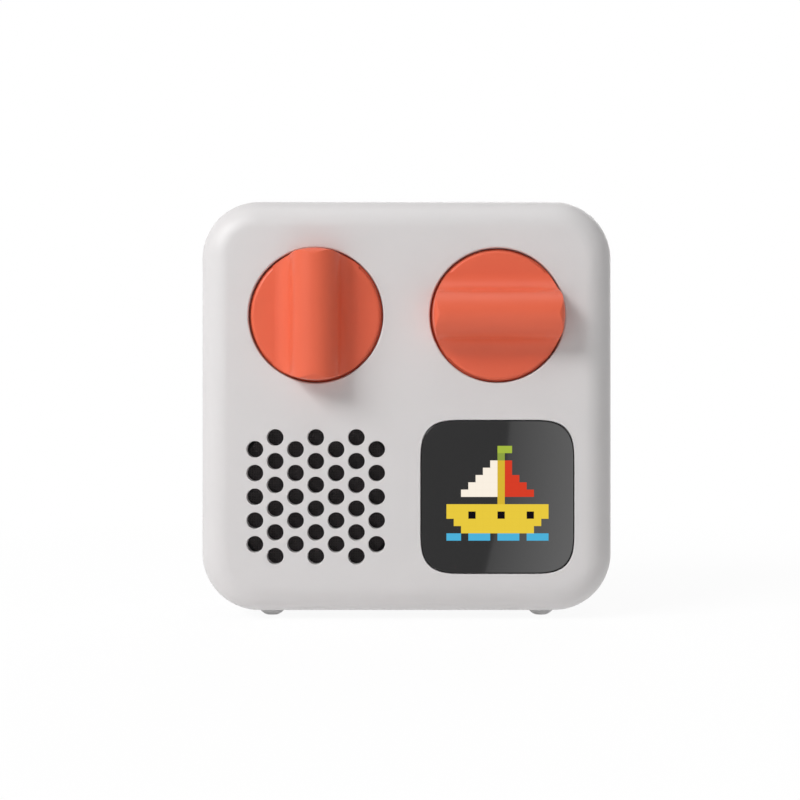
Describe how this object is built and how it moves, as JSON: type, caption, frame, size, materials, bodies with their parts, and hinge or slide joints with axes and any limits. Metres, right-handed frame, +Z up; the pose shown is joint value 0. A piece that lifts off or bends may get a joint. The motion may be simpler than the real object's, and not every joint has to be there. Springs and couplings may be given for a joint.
{
  "type": "audio story player",
  "caption": "Palm-sized square audio story player with push-and-turn knobs, a perforated speaker grille, a small picture screen and a card slot in its rounded case.",
  "frame": {"origin": "on the table under the middle of the player, between its four feet", "axes": "+Z is up, the face with the knobs looks along -Y, and +X is the side with the sockets, on the viewer's right"},
  "size_m": [0.07, 0.038, 0.0713],
  "materials": {
    "shell": "fine matte texture",
    "knob": "satin",
    "foot": "matte",
    "window": "polished, tinted",
    "dark_plastic": "moulded",
    "white_plastic": "moulded",
    "steel": "plated",
    "gold_contact": "gold plated",
    "board": "solder mask over glass epoxy",
    "foam": "foam",
    "paper": "pressed paper",
    "copper": "enamelled copper",
    "cell_foil": "laminated foil",
    "wire": "insulation"
  },
  "bodies": {
    "chassis": {"front_shell": "shell", "rear_cover": "shell", "case_screws": "steel", "rubber_feet": "foot", "window_lens": "window", "lens_tape": "foam", "display_gasket": "foam", "display_panel": "window", "display_carrier": "dark_plastic", "display_ribbon": "copper", "display_connector": "white_plastic", "left_encoder_housing": "steel", "left_encoder_base": "dark_plastic", "left_switch_dome": "steel", "right_encoder_housing": "steel", "right_encoder_base": "dark_plastic", "right_switch_dome": "steel", "speaker_mesh": "foam", "speaker_gasket": "foam", "speaker_frame": "dark_plastic", "speaker_surround": "foam", "speaker_magnet": "steel", "speaker_yoke": "steel", "speaker_retainer": "dark_plastic", "speaker_screws": "steel", "speaker_wires": "wire", "speaker_socket": "white_plastic", "main_board": "board", "board_chips": "dark_plastic", "board_screws": "steel", "wireless_module": "board", "wireless_shield": "steel", "headphone_jack": "dark_plastic", "usb_shell": "steel", "usb_insert": "dark_plastic", "usb_contacts": "gold_contact", "usb_gasket": "foam", "power_switch": "dark_plastic", "card_guide": "white_plastic", "guide_screws": "steel", "antenna_board": "board", "antenna_coil": "copper", "board_header": "dark_plastic", "battery_cell": "cell_foil", "battery_foam": "foam", "battery_board": "board", "battery_wires": "wire", "battery_plug": "white_plastic"},
    "left_rotor": {"left_encoder_rotor": "white_plastic"},
    "left_dial": {"left_knob": "knob", "left_encoder_shaft": "steel"},
    "left_plunger": {"left_push_plunger": "white_plastic"},
    "right_rotor": {"right_encoder_rotor": "white_plastic"},
    "right_dial": {"right_knob": "knob", "right_encoder_shaft": "steel"},
    "right_plunger": {"right_push_plunger": "white_plastic"},
    "power": {"power_button": "knob", "power_plunger": "dark_plastic"},
    "cone": {"speaker_cone": "paper", "voice_coil": "copper"}
  },
  "joints": [
    {"name": "left_turn", "type": "hinge", "parent": "chassis", "child": "left_rotor", "pos_m": [-0.0153, -0.01, 0.0516], "axis": [0, 1, 0], "continuous": true},
    {"name": "left_press", "type": "slide", "parent": "left_rotor", "child": "left_dial", "axis": [0, 1, 0], "range_m": [0, 0.0008], "stiffness_N_per_m": 3000},
    {"name": "left_plunge", "type": "slide", "parent": "chassis", "child": "left_plunger", "axis": [0, 1, 0], "range_m": [0, 0.0008], "deforming": ["left_switch_dome"]},
    {"name": "right_turn", "type": "hinge", "parent": "chassis", "child": "right_rotor", "pos_m": [0.0153, -0.01, 0.0516], "axis": [0, 1, 0], "continuous": true},
    {"name": "right_press", "type": "slide", "parent": "right_rotor", "child": "right_dial", "axis": [0, 1, 0], "range_m": [0, 0.0008], "stiffness_N_per_m": 3000},
    {"name": "right_plunge", "type": "slide", "parent": "chassis", "child": "right_plunger", "axis": [0, 1, 0], "range_m": [0, 0.0008], "deforming": ["right_switch_dome"]},
    {"name": "power_press", "type": "slide", "parent": "chassis", "child": "power", "axis": [-1, 0, 0], "range_m": [0, 0.0004], "stiffness_N_per_m": 4000},
    {"name": "cone_stroke", "type": "slide", "parent": "chassis", "child": "cone", "axis": [0, -1, 0], "range_m": [-0.0004, 0.0004], "stiffness_N_per_m": 3500, "deforming": ["speaker_surround"]}
  ],
  "couplings": [
    {"joint": "left_plunge", "follows": "left_press", "ratio": 1},
    {"joint": "right_plunge", "follows": "right_press", "ratio": 1}
  ]
}
